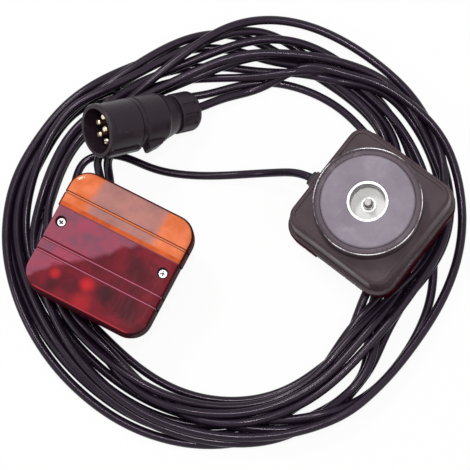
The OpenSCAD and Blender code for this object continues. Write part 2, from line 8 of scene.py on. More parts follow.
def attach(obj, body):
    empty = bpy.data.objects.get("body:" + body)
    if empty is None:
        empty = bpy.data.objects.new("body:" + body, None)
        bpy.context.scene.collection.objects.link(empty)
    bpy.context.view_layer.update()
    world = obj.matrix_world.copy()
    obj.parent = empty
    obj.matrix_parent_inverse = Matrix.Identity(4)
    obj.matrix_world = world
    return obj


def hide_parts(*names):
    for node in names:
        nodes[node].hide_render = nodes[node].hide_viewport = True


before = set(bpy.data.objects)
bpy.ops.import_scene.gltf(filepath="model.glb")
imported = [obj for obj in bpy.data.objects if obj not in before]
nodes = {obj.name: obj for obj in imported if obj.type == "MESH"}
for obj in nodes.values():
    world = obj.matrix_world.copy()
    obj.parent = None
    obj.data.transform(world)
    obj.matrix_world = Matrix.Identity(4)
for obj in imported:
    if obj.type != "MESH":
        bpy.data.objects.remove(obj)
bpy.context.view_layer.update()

# Magnetic trailer light kit: lamp A lies lens up, lamp B lens down on the ring of cord.
# Lengths in this file are millimetres until they go into a mesh.
MM = 0.001
CENTRE = np.array([7.1, -6.8, 0.0])  # of the layout, and the origin of the frame


def to_frame(points):
    """Millimetres of the layout into metres of the frame: less the centre, times a thousandth."""
    return (np.asarray(points, float) - CENTRE) * MM


# Camera: above and a little in front, looking at the middle of the photograph's floor
TARGET = Vector(to_frame([0, -1.2, 0]))
CAMERA_UP = math.radians(79)
CAMERA_FAR = 1.2  # metres
VIEW_WIDTH = 0.3713  # metres of the floor across the picture


def place_camera():
    """A camera that sees VIEW_WIDTH at its target's distance."""
    data = bpy.data.cameras.new("camera")
    data.lens = data.sensor_width / 2 / (VIEW_WIDTH / 2 / CAMERA_FAR)
    data.clip_end = 20.0
    camera = bpy.data.objects.new("camera", data)
    bpy.context.scene.collection.objects.link(camera)
    away = Vector((0, -math.cos(CAMERA_UP), math.sin(CAMERA_UP)))
    camera.location = TARGET + away * CAMERA_FAR
    camera.rotation_euler = away.to_track_quat("Z", "Y").to_euler()
    bpy.context.scene.camera = camera


place_camera()

# Cords
RING = np.array([-2.8, -3.0])  # middle of the wound ring
MAIN_D = 7.0  # thickness of the cord to the plug
LINK_D = 6.5  # thickness of the cord between the lamps
MAIN_LAPS = 8  # counter-clockwise
LINK_LAPS = -3  # clockwise
STRANDS = 11  # turns side by side in the ring
CORD_STEP = 3.2  # between two circles of a cord's tube
LEAD_EASE = 10  # end of a lead that may move to meet the turns
EVEN_EASE = 30  # length over which the turns come to be eased more than the leads
EVEN_ROUNDS = 30
LAY_DEPTH = 0.006  # wave of the cores in the sheath, share of its radius
LAY_TURN = 9.0  # length over which it turns by one radian
TIP = 0.02  # size of a cord's closed end, share of its thickness
SLICE = 2.0  # degrees between two samples of a turn
COLUMNS = int(360 / SLICE)  # samples in one turn

# The leads, as the solids have them
MAIN_ROUTE = [[-96.5, 31.7, 30.5], [-97, 38, 29.8], [-98.9, 45.5, 26.2], [-100.8, 52.5, 19.8],
              [-100, 59, 13.8], [-97.8, 65, 10.9], [-93.5, 71, 10.6], [-86.5, 76.8, 10.4],
              [-79, 82, 10.2], [-74.5, 88.5, 10.2], [-73.5, 96.5, 9.4], [-76, 104, 8.4],
              [-80.2, 109.2, 7.8]]
LINK_ROUTE = [[-103.6, 35.3, 30.5], [-104.8, 41.3, 28.4], [-107.6, 47.5, 24], [-108.9, 54, 18],
              [-107.8, 60, 13.5], [-105.3, 66, 10.4], [-100.5, 72.5, 6.6], [-92, 77.5, 3.6],
              [-82, 81, 3.3], [-71, 86, 3.3], [-62, 95.5, 3.3], [-54, 105.3, 3.3], [-44, 110.7, 3.3],
              [-33, 111, 3.3], [-22, 112.8, 3.3], [-10, 116.6, 3.3], [4, 120.6, 3.3]]
LAMP_B_ROUTE = [[-124, 57.6, 3.3], [-116, 61.4, 3.3], [-107, 63.6, 3.3], [-98, 64, 3.3],
                [-89.5, 62.4, 3.3], [-80, 58.6, 3.3], [-67, 51.8, 3.3], [-50, 47.6, 3.3],
                [-30, 45.8, 3.4], [-10, 45.8, 4.4], [8, 46.2, 7.6], [22, 45.8, 13], [33, 44.6, 20.5],
                [43, 43, 29.5], [51.6, 40.6, 36.6], [58.6, 36, 39.4]]
PLUG_ROUTE = [[-34.3, 97.7, 11.5], [-28.4, 100.3, 8.4], [-21, 104, 6.6], [-13, 108.4, 5.6],
              [-3, 111.3, 4.6], [8, 114, 3.8], [19.6, 117.2, 3.5]]

# Edges of the ring every 15 degrees from the right, counter-clockwise, from its middle
RING_OUTER = [186, 189, 187, 186, 186, 186, 176, 167.5, 163, 167.5, 174.5, 179.5, 182, 178, 176, 173,
              172.5, 170, 167, 166.5, 166.5, 167, 169, 177]
RING_INNER = [120, 126, 131, 134, 132.5, 126, 125, 126, 127, 131, 135, 143, 143, 132, 126, 121, 124, 126,
              127, 126.5, 124, 115.5, 110.5, 113]

# Turns that lie on top: cord, turns before it, height, and (angle, distance) marks
TOP_TURNS = [
    (0, 7, 17.0, [(195, 161), (225, 160), (240, 154), (270, 156), (300, 159), (330, 164.5),
                  (345, 172.5), (355, 178), (375, 185), (390, 183.5), (405, 175), (412, 166.5),
                  (420, 155.5), (427, 145.5), (433, 136), (436.5, 130), (440, 125)]),
    (0, 6, 15.0, [(235, 159), (250, 154.5), (270, 146), (290, 136.5), (300, 133.5), (315, 134.5),
                  (330, 141), (345, 155), (355, 166), (375, 177), (405, 179), (430, 182),
                  (450, 172.5), (465, 156), (478, 143)]),
    (0, 5, 13.0, [(260, 158), (275, 154), (285, 147), (305, 141), (315, 141.5), (330, 150),
                  (345, 165), (375, 172), (415, 166), (435, 167), (450, 158), (470, 137)]),
    (1, -2, 13.0, [(200, 149), (235, 140), (255, 142), (275, 140), (300, 136)]),
]
# Stretches given where a lead meets the ring: cord, angle, distance and height
LAID = [
    (0, 126, 147.0, 6.6), (0, 128, 155.5, 5.4), (0, 130, 160.0, 4.4), (0, 132, 162.8, 3.7),
    (0, 2958, 124.0, 4.6), (0, 2956, 126.8, 6.8), (0, 2954, 130.0, 9.0),
]
LAID += [(1, 86 - 2 * k, distance, 3.3) for k, distance in
         enumerate([124.5, 126.0, 127.4, 128.8, 130.0, 131.0, 131.8, 132.4])]
# Openings that stay in the ring: first and last angle, near and far edge
RING_GAPS = [(313, 337, 153, 161), (145, 166, 154, 160), (148, 170, 133, 142), (38, 62, 140.5, 144.5),
             (23, 37, 165, 168.5), (297, 308, 148.5, 151.5)]

# What the turns keep clear of: lamp B's lens above them, lamp A's magnet and the plug beside them
LENS_MIDDLE = (108.7, 10.2)  # of the lens face that lies on the ring
LENS_TURN = (-0.627, -0.779)  # cosine and sine of the lamp's turn
LENS_LEAN = 0.9877  # cosine of its tilt
LENS_SLOPE = 0.1584  # tangent of its tilt
LENS_FLAT = (35.5, 33)  # half sizes of the face inside its corners
LENS_CORNER = 17
LENS_HEIGHT = 9.4  # of the face at its middle
LENS_RISE = 2.2  # slope of the limit beside the face
LENS_MARGIN = 2
MAGNET_MIDDLE = (-94, -27)
MAGNET_R = 41.4
PLUG_LEAN = np.radians(33)
PLUG_TURN = np.radians(203.3)
PLUG_NECK = (34, 16.2)  # length and radius of the narrow part
PLUG_BARREL = (92, 20.4)  # where the wide part ends, and its radius

# How the turns settle, angles in degrees
SWING = 220  # by which a turn rolls over on its way round
PULL = 0.05  # share by which a turn is drawn to its place in a round
TOP_PULL = 0.12  # more for a turn on top
TOP_EASE = 24  # angle over which a turn comes to its marks
GAP_EASE = 12  # the same at an opening
GAP_PUSH = 0.4  # share by which a turn moves out of an opening
LEAD_MEET = 52  # angle over which a turn comes down to its lead
LEAD_LOOSE = 60  # angle over which it comes to be stretched with the ring
LEAD_HELD = 8  # angle of the link cord that is held at lamp B's lead
MAIN_START = 165  # distance at which the main cord joins the ring
LINK_START = 10  # how far outside its lead the link cord joins it
LEAD_HIGH = 3.5  # height of a turn at its lead, at most
NEIGHBOURS = 13  # turns that can lie at one angle, less one
STRAIGHTEN = 0.3  # share of a bend that one pass takes out
SHARPEN = 0.2  # more where a sample bends more than its neighbours
PUSH = 0.35  # share of an overlap that one push takes from each side
CALM_PUSH = 0.25
CLEAR = 0.15  # left between a turn and the lens above it
ROUNDS = 600
CALM = 100  # last rounds, in which nothing is drawn to its place or falls
STRETCH_AT = (24, 12)  # rounds left when the ring is stretched onto its edges
FALL = 0.14  # in a round
HIGHEST = 17.5  # middle of a turn above the floor
OUTSIDE = 999.0  # farther out than any turn
SEED = 4


def ease(t):
    """Smooth step from 0 to 1."""
    t = np.clip(t, 0, 1)
    return t * t * (3 - 2 * t)


def window(x, first, last, soft):
    """1 from one place to another, easing to 0 over soft on both sides."""
    return ease((x - first + soft) / soft) * ease((last + soft - x) / soft)


def round_ring(marks, angle):
    """Value round the ring: a sum of a few waves through marks at equal angles."""
    waves = np.fft.rfft(marks) / len(marks)
    k = np.arange(len(waves))
    weight = np.where(k == 0, 1.0, 2.0) * np.exp(-(k / 9) ** 2)
    turn = np.exp(1j * np.multiply.outer(np.radians(angle), k))
    return (weight * (waves * turn).real).sum(-1)


def few_waves(values):
    """A closed row of values with its quick changes taken out."""
    waves = np.fft.rfft(values)
    return np.fft.irfft(waves * np.exp(-(np.arange(len(waves)) / 10) ** 2), len(values))


def polar(point):
    """Angle in degrees and distance of a point from the middle of the ring."""
    x, y = np.asarray(point[:2]) - RING
    return np.degrees(np.arctan2(y, x)) % 360, np.hypot(x, y)


def off_middle(row):
    """How far the middle of its two neighbours lies from each value of a row; 0 at both ends."""
    off = np.zeros(len(row))
    off[1:-1] = (row[2:] + row[:-2]) / 2 - row[1:-1]
    return off


def lens_above(x, y):
    """Height of the underside of the lamp that lies on the ring; the limit rises beside it."""
    dx = x - LENS_MIDDLE[0]
    dy = y - LENS_MIDDLE[1]
    u = np.abs(LENS_TURN[0] * dx / LENS_LEAN + LENS_TURN[1] * dy)
    v = np.abs(LENS_TURN[1] * dx / LENS_LEAN - LENS_TURN[0] * dy)
    outside = np.hypot(np.maximum(u - LENS_FLAT[0], 0), np.maximum(v - LENS_FLAT[1], 0)) - LENS_CORNER
    return LENS_HEIGHT + LENS_SLOPE * dx + LENS_RISE * np.maximum(outside - LENS_MARGIN, 0)


def off_plug(x, y, z, radius):
    """How deep a point lies in the plug, taken as a round bar with one step."""
    axis = np.array([np.cos(PLUG_LEAN) * np.cos(PLUG_TURN), np.cos(PLUG_LEAN) * np.sin(PLUG_TURN),
                     np.sin(PLUG_LEAN)])
    p = np.stack([x, y, z], -1) - PLUG_ROUTE[0]
    along = p @ axis
    off = np.linalg.norm(p - along[:, None] * axis, axis=1)
    bar = np.where(along < PLUG_NECK[0], PLUG_NECK[1], PLUG_BARREL[1])
    beside = (along > 0) & (along < PLUG_BARREL[0])
    return np.where(beside, np.maximum(bar + radius - off, 0), 0)


def turn_angles(first, last, laps, way):
    """Angles between the ends of two leads, counted on through every lap."""
    start = polar(first)[0]
    end = polar(last)[0] + 360 * laps
    steps = int(abs(end - start) / SLICE)
    start = np.floor(start / SLICE) if way > 0 else np.ceil(start / SLICE)
    return (start + way * np.arange(1, steps)) * SLICE


class Winding:
    """The turns of both cords as rows of samples, the main cord's first.

    Every sample keeps its angle round the ring; its distance r from the ring's middle and its
    height z settle. total is the angle counted on through every lap, cord 0 for the main cord and
    1 for the link cord, way the sense in which its samples run. inner and outer bound its middle.
    goal and height are the place it is drawn to, pull how strongly; free is 0 where a sample is
    held, loose 0 at the leads."""

    def __init__(self):
        spans = [turn_angles(MAIN_ROUTE[-1], PLUG_ROUTE[-1], MAIN_LAPS, 1),
                 turn_angles(LINK_ROUTE[-1], LAMP_B_ROUTE[0], LINK_LAPS, -1)]
        counts = [len(span) for span in spans]
        self.total = np.concatenate(spans)
        self.cord = np.repeat([0, 1], counts)
        self.index = np.arange(len(self.total))
        self.first = np.array([0, counts[0]])[self.cord]
        self.last = np.array([counts[0], len(self.total)])[self.cord] - 1
        self.inside = (self.index > self.first) & (self.index < self.last)
        self.way = np.where(self.cord == 0, 1, -1)
        self.radius = np.where(self.cord == 0, MAIN_D, LINK_D) / 2
        self.angle = self.total % 360
        self.cosine = np.cos(np.radians(self.angle))
        self.sine = np.sin(np.radians(self.angle))
        self.column = np.round(self.angle / SLICE).astype(int) % COLUMNS
        self.inner = round_ring(RING_INNER, self.angle) + self.radius
        self.outer = round_ring(RING_OUTER, self.angle) - self.radius
        self.pull = np.full(len(self.total), PULL)
        self.spread_turns()
        self.mark_top_turns()
        self.meet_leads()
        self.pair_up()
        self.openings = [self.opening(*gap) for gap in RING_GAPS]
        self.r = self.goal.copy()
        self.z = self.height.copy()

    def wander(self):
        """Slow wandering along each cord: a sum of a few waves of random size and start."""
        rng = np.random.default_rng(SEED)
        stray = np.zeros(len(self.total))
        for cord in (0, 1):
            along = np.radians(self.total[self.cord == cord])
            for pace in (0.53, 0.87, 1.31, 1.9, 2.7):
                wave = rng.normal() * np.sin(pace * along + rng.uniform(0, 6.28)) / (1 + pace)
                stray[self.cord == cord] += wave
        return stray

    def spread_turns(self):
        """Goals on a flattened helix round the ring's middle line, with a slot for each turn. A turn
        rolls over between 15 and 115 degrees, and on into the next slot between 262 and 360.
        Across the ring the goals lie more evenly than on a cosine; on the right they lean out."""
        angle = self.angle
        stray = self.wander()
        lap = np.floor(self.total / 360)
        slot = 360 / STRANDS
        swing = SWING * ease((angle - 15) / 100) - (SWING - slot) * ease((angle - 262) / 98)
        phase = 15 - 8 * slot + np.where(self.cord == 0, lap, STRANDS + lap) * slot + swing
        across = np.cos(np.radians(phase + 14 * stray))
        across = 0.35 * across + 0.65 * np.arcsin(across) / (np.pi / 2)
        right = ease(1 - np.abs((angle + 175) % 360 - 180) / 55)
        across += 0.35 * right * (1 - across * across)
        middle = (self.inner + self.outer) / 2
        half = (self.outer - self.inner) / 2
        self.goal = middle + half * across + 1.2 * stray
        self.height = self.radius + 3.6 * (1 + np.sin(np.radians(phase)))

    def mark_top_turns(self):
        """Turns on top follow their marks, eased in and out, and are drawn harder."""
        for cord, lap, top, marks in TOP_TURNS:
            marks = np.array(marks, float)
            x = self.total - 360 * lap
            w = window(x, marks[0, 0], marks[-1, 0], TOP_EASE) * (self.cord == cord)
            self.goal += w * (np.interp(x, marks[:, 0], marks[:, 1]) - self.goal)
            self.height += w * (top - self.height)
            self.pull += TOP_PULL * w

    def meet_leads(self):
        """Turns come down to the leads' ends, and the stretches listed in LAID are held there."""
        hold = np.zeros(len(self.total))
        self.loose = np.ones(len(self.total))
        at_link = polar(LINK_ROUTE[-1])[1] + LINK_START
        at_plug = polar(PLUG_ROUTE[-1])[1]
        at_lamp_b = polar(LAMP_B_ROUTE[0])[1]
        ends = ((0, MAIN_ROUTE[-1], MAIN_START, 1), (0, PLUG_ROUTE[-1], at_plug, -1),
                (1, LINK_ROUTE[-1], at_link, 1), (1, LAMP_B_ROUTE[0], at_lamp_b, -1))
        for cord, point, distance, way in ends:
            k = np.flatnonzero(self.cord == cord)[::way]
            far = np.arange(len(k)) * SLICE
            w = ease(far / LEAD_MEET)
            self.loose[k] *= ease(far / LEAD_LOOSE)
            self.goal[k] = self.goal[k] * w + distance * (1 - w)
            self.height[k] = self.height[k] * w + min(point[2], LEAD_HIGH) * (1 - w)
            if point is LAMP_B_ROUTE[0]:
                hold[k] = np.maximum(hold[k], np.clip(1 - far / LEAD_HELD, 0, 1))
        for cord, at, distance, up in LAID:
            k = np.flatnonzero((self.cord == cord) & (np.abs(self.total - at) < 0.5))
            self.goal[k] = distance
            self.height[k] = up
            hold[k] = 1
        self.free = 1 - hold

    def pair_up(self):
        """Samples at the same angle, two by two, and the distance at which they touch."""
        order = np.argsort(self.column, kind="stable")
        a = []
        b = []
        for gap in range(1, NEIGHBOURS + 1):
            same = self.column[order[gap:]] == self.column[order[:-gap]]
            a.append(order[:-gap][same])
            b.append(order[gap:][same])
        self.a = np.concatenate(a)
        self.b = np.concatenate(b)
        self.reach = self.radius[self.a] + self.radius[self.b]

    def opening(self, first, last, near, far):
        """An opening is passed on the side on which the turn lies at the opening's middle."""
        middle = (first + last) / 2
        step = np.round(((middle - self.angle + 180) % 360 - 180) / SLICE).astype(int) * self.way
        at = np.clip(self.index + step, self.first, self.last)
        beyond = self.goal[at] > (near + far) / 2
        return window(self.angle, first, last, GAP_EASE) * GAP_PUSH, beyond, near, far

    def stretch(self):
        """The ring is stretched between its innermost and outermost turns onto its own edges."""
        settled = self.loose > 0.6
        high = np.zeros(COLUMNS)
        low = np.full(COLUMNS, OUTSIDE)
        np.maximum.at(high, self.column, (self.r + self.radius) * settled)
        np.minimum.at(low, self.column, np.where(settled, self.r - self.radius, OUTSIDE))
        high = few_waves(high)[self.column]
        low = few_waves(low)[self.column]
        wide = self.outer - self.inner + 2 * self.radius
        fitted = self.inner - self.radius + (self.r - low) * wide / (high - low)
        self.r += (np.clip(fitted, self.inner, self.outer) - self.r) * self.loose * self.free

    def pass_openings(self):
        """Turns move out of the openings, each to its own side."""
        for share, beyond, near, far in self.openings:
            outwards = np.maximum(self.r, far + self.radius)
            inwards = np.minimum(self.r, near - self.radius)
            to = np.where(beyond, outwards, inwards)
            self.r += (to - self.r) * share * self.free

    def straighten(self):
        """Each sample moves towards the middle of its neighbours, and further where it bends more
        than they do."""
        for row in (self.r, self.z):
            bend = off_middle(row) * self.inside
            row += (STRAIGHTEN * bend - SHARPEN * off_middle(bend) * self.inside) * self.free

    def push_apart(self, skew, force):
        """Two samples that are closer than they can be are pushed apart, by a share of the overlap."""
        a, b, count = self.a, self.b, len(self.r)
        dr = (self.r[b] - self.r[a]) * skew
        dz = self.z[b] - self.z[a]
        apart = np.hypot(dr, dz) + 1e-6
        push = np.maximum(self.reach - apart, 0) * force
        for row, part in ((self.r, push * dr / apart), (self.z, push * dz / apart)):
            row += (np.bincount(b, part, count) - np.bincount(a, part, count)) * self.free

    def skew(self):
        """How much nearer two crossing turns are than their distance at one angle."""
        slope = np.gradient(self.r) * self.way / (np.radians(SLICE) * self.r)
        return 1 / np.sqrt(1 + np.clip(slope[self.a] - slope[self.b], -3, 3) ** 2)

    def keep_clear(self):
        """Nothing goes through the floor, the lens above, the magnet or the plug."""
        x, y = self.plan()
        top = np.minimum(lens_above(x, y) - self.radius - CLEAR, HIGHEST)
        self.z = np.clip(self.z, self.radius, np.maximum(top, self.radius))
        from_magnet = np.hypot(x - MAGNET_MIDDLE[0], y - MAGNET_MIDDLE[1])
        self.r += np.maximum(MAGNET_R + self.radius - from_magnet, 0) * self.free
        self.r += off_plug(x, y, self.z, self.radius) * self.free

    def plan(self):
        """Place of each sample seen from above."""
        return RING[0] + self.r * self.cosine, RING[1] + self.r * self.sine

    def settle(self):
        """Over and over, each sample is drawn to its place, falls, is straightened along its cord
        and is pushed off its neighbours and what it has to clear. In the last rounds the ring is
        stretched onto its edges and comes to rest."""
        for left in range(ROUNDS, 0, -1):
            falling = left > CALM
            if left in STRETCH_AT:
                self.stretch()
            if falling:
                self.r += (self.goal - self.r) * self.pull * self.free
                self.z -= FALL * self.free
            self.pass_openings()
            for _ in range(2 if falling else 5 if left > STRETCH_AT[0] else 1):
                self.straighten()
            skew = self.skew()
            for _ in range(3 if falling else 2):
                self.push_apart(skew, PUSH if falling else CALM_PUSH)
                self.keep_clear()

    def lines(self):
        """The turns of the main cord and of the link cord, as points."""
        points = np.stack([*self.plan(), self.z], 1)
        return points[self.cord == 0], points[self.cord == 1]


def even(points, spacing, loose):
    """Points at equal distances along a line whose corners are cut twice. They are then eased
    towards the middle of their neighbours, most of all between the two lengths in loose, which
    are taken from the line's ends."""
    p = np.asarray(points, float)
    for _ in range(2):
        cut = np.empty((2 * len(p), 3))
        cut[0] = p[0]
        cut[-1] = p[-1]
        cut[1:-1:2] = 0.75 * p[:-1] + 0.25 * p[1:]
        cut[2:-1:2] = 0.25 * p[:-1] + 0.75 * p[1:]
        p = cut
    run = lengths_along(p)
    at = np.linspace(0, run[-1], int(run[-1] / spacing) + 1)
    q = np.stack([np.interp(at, run, p[:, i]) for i in range(3)], 1)
    weight = 0.5 * ease((at - loose[0]) / EVEN_EASE) * ease((run[-1] - loose[1] - at) / EVEN_EASE) + 0.2
    for _ in range(EVEN_ROUNDS):
        q[1:-1] += weight[1:-1, None] * ((q[2:] + q[:-2]) / 2 - q[1:-1])
    return q


def lengths_along(points):
    """Length from the start of a line to each of its points."""
    steps = np.linalg.norm(np.diff(np.asarray(points, float), axis=0), axis=1)
    return np.concatenate([[0], np.cumsum(steps)])


def new_mesh(name, points, faces, uv=None, smooth=True):
    """A mesh object at the origin from an array of points in metres and arrays of faces."""
    mesh = bpy.data.meshes.new(name)
    corners = np.concatenate([f.ravel() for f in faces])
    sides = np.concatenate([np.full(len(f), f.shape[1]) for f in faces])
    mesh.vertices.add(len(points))
    mesh.vertices.foreach_set("co", np.ascontiguousarray(points, np.float32).ravel())
    mesh.loops.add(len(corners))
    mesh.loops.foreach_set("vertex_index", corners.astype(np.int32))
    mesh.polygons.add(len(sides))
    mesh.polygons.foreach_set("loop_start", (np.cumsum(sides) - sides).astype(np.int32))
    mesh.polygons.foreach_set("loop_total", sides.astype(np.int32))
    mesh.update(calc_edges=True)
    mesh.validate()
    mesh.polygons.foreach_set("use_smooth", np.full(len(mesh.polygons), smooth))
    if uv is not None:
        layer = mesh.uv_layers.new(name="along")
        layer.data.foreach_set("uv", np.ascontiguousarray(uv, np.float32).ravel())
    piece = bpy.data.objects.new(name, mesh)
    bpy.context.scene.collection.objects.link(piece)
    return piece


def cord_tube(name, line, diameter, sides=16):
    """Round sheath: circles square to the line, with the faint wave of three cores laid round each
    other. Both ends are drawn in and closed. UV: metres along, turns round."""
    way = np.gradient(line, axis=0)
    way /= np.linalg.norm(way, axis=1)[:, None]
    side = np.cross(way, [0, 0, 1.0])
    side /= np.linalg.norm(side, axis=1)[:, None]
    up = np.cross(side, way)
    run = lengths_along(line)
    turn = np.arange(sides)
    angle = turn / sides * 2 * np.pi
    lay = 1 + LAY_DEPTH * np.sin(3 * angle[None] - run[:, None] / LAY_TURN)
    radius = (diameter / 2 * lay)[..., None]
    rings = line[:, None] + radius * (np.cos(angle)[None, :, None] * side[:, None]
                                      + np.sin(angle)[None, :, None] * up[:, None])
    first = line[0] + (rings[0] - line[0]) * TIP
    last = line[-1] + (rings[-1] - line[-1]) * TIP
    rings = np.concatenate([first[None], rings, last[None]])
    run = np.concatenate([[run[0]], run, [run[-1]]])
    n = len(rings)
    i, j = np.meshgrid(np.arange(n - 1), np.arange(sides), indexing="ij")
    k = (j + 1) % sides
    faces = np.stack([i * sides + j, i * sides + k, (i + 1) * sides + k, (i + 1) * sides + j], -1)
    u = np.stack([run[i], run[i], run[i + 1], run[i + 1]], -1) * MM
    v = np.stack([j, j + 1, j + 1, j], -1) / sides
    uv = np.stack([u, v], -1).reshape(-1, 4, 2)[:, ::-1]
    ends = np.stack([turn, turn[::-1] + (n - 1) * sides])
    end_uv = np.stack([np.stack([np.full(sides, run[at] * MM), turn / sides], -1) for at in (0, -1)])
    return new_mesh(name, to_frame(rings.reshape(-1, 3)), [faces.reshape(-1, 4)[:, ::-1], ends],
                    np.concatenate([uv.reshape(-1, 2), end_uv.reshape(-1, 2)]))


def whole_line(lead, turns, far_lead):
    """One cord from end to end; its leads stay as they are but for their last stretch."""
    loose = (lengths_along(lead)[-1] - LEAD_EASE, lengths_along(far_lead)[-1] - LEAD_EASE)
    return even(np.vstack([lead, turns, far_lead]), CORD_STEP, loose)


def make_cord(name, line, diameter, solids):
    """A cord that takes the place of its solids."""
    cord = cord_tube(name, line, diameter)
    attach(cord, "root")
    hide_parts(*solids)
    cord.data.materials.append(vinyl_sheath())


def make_cords():
    """Both cords, each from end to end: lead, turns in the ring, lead."""
    ring = Winding()
    ring.settle()
    main_turns, link_turns = ring.lines()
    main_line = whole_line(MAIN_ROUTE, main_turns, PLUG_ROUTE[::-1])
    link_line = whole_line(LINK_ROUTE, link_turns, LAMP_B_ROUTE)
    make_cord("main_cord", main_line, MAIN_D, ("cable_coil", "plug_lead", "lamp_a_main_lead"))
    make_cord("link_cord", link_line, LINK_D, ("lamp_a_link_lead", "lamp_b_lead"))


# Light
SKY_LIGHT = 0.45  # the sky's strength as a source of light
FLOOR_SHARE = 0.93  # how far the floor is plain white to the eye
FLOOR_R = 6.0  # metres
FLOOR_SIDES = 64
FLOOR_DROP = 0.0002

# Places on a lamp, metres in the lamp's own space
NUT_R = 0.0031
WASHER_R = 0.0044  # where the nut ends and its washer begins
SLEEVE_BORE = 0.0136
RECESS_R = 0.0155
FERRITE_R = 0.0359
CUP_RIM = 0.0400
SCREW_X = 0.043
SCREW_Y = 0.0045
SCREW_SLOT = 0.0019  # half its length
SCREW_HEAD = 0.0028
SCREW_WELL = 0.0042
SLOT_TURN = 0.36  # tangent of the slot's turn
JOINT_Y = 0.016  # joint of the two lens halves
GROOVE_YS = (0.027, -0.0118, -0.0212)  # middles of the lens's grooves
LENS_EDGE_Y = -0.0478  # bright line along the red end
LENS_FLAT_X = 0.0355  # half sizes of the lens inside its corners
LENS_FLAT_Y = 0.033
LENS_ROUND = 0.0144  # from there to where its edge turns down
PLACE_A = [-94, -27, 0]  # middle of the magnet's face, mm of the layout
PLACE_B = [98.5, 10.2, 73.579]
TURN_A = -27.2  # degrees
TURN_B = 231.2
TILT_B = -9


def tone(red, green, blue):
    """A colour as a screen shows it, 0 to 255, as the shader takes it."""
    value = np.array([red, green, blue]) / 255
    return tuple(np.where(value < 0.04045, value / 12.92, ((value + 0.055) / 1.055) ** 2.4).tolist())


# Painted glints and painted shade in the red lens, where the lamp holder shows through: x and y in mm,
# size, colour, share
RED_PAINTED_GLINTS_AND_SHADE = [
    (13, -29, 13, tone(52, 8, 20), 0.9), (34, -30, 15, tone(62, 8, 22), 0.8),
    (-27, -40, 9, tone(64, 8, 20), 0.8), (26, -3, 13, tone(70, 10, 24), 0.75),
    (-28, -32, 6, tone(196, 30, 42), 0.8), (-3, -29, 8, tone(204, 28, 40), 0.85),
    (-1, -43, 12, tone(176, 28, 38), 0.8),
]


class Graph:
    """The nodes of a material or of the sky."""

    def __init__(self, tree):
        self.tree = tree
        tree.nodes.clear()

    def add(self, kind, inputs=None, **settings):
        """A node with its settings; its inputs, by name or number, take values or outputs."""
        node = self.tree.nodes.new(kind)
        for key, value in settings.items():
            setattr(node, key, value)
        for key, value in (inputs or {}).items():
            self.feed(node.inputs[key], value)
        return node

    def join(self, start, end):
        self.tree.links.new(start, end)

    def feed(self, socket, value):
        if hasattr(value, "links"):
            self.join(value, socket)
        else:
            socket.default_value = value

    def reckon(self, kind, a, b=0.0):
        return self.add("ShaderNodeMath", {0: a, 1: b}, operation=kind).outputs[0]

    def larger(self, a, b):
        return self.reckon("MAXIMUM", a, b)

    def ramp(self, value, low, high, to_low=0.0, to_high=1.0):
        """Value between two bounds carried to two others, smoothly."""
        inputs = {"Value": value, "From Min": low, "From Max": high, "To Min": to_low, "To Max": to_high}
        return self.add("ShaderNodeMapRange", inputs, interpolation_type="SMOOTHSTEP").outputs[0]

    def seen(self):
        """1 for the rays that show a thing: straight, mirrored or through clear plastic."""
        path = self.add("ShaderNodeLightPath").outputs
        straight = self.larger(path["Is Camera Ray"], path["Is Glossy Ray"])
        return self.larger(straight, path["Is Transmission Ray"])


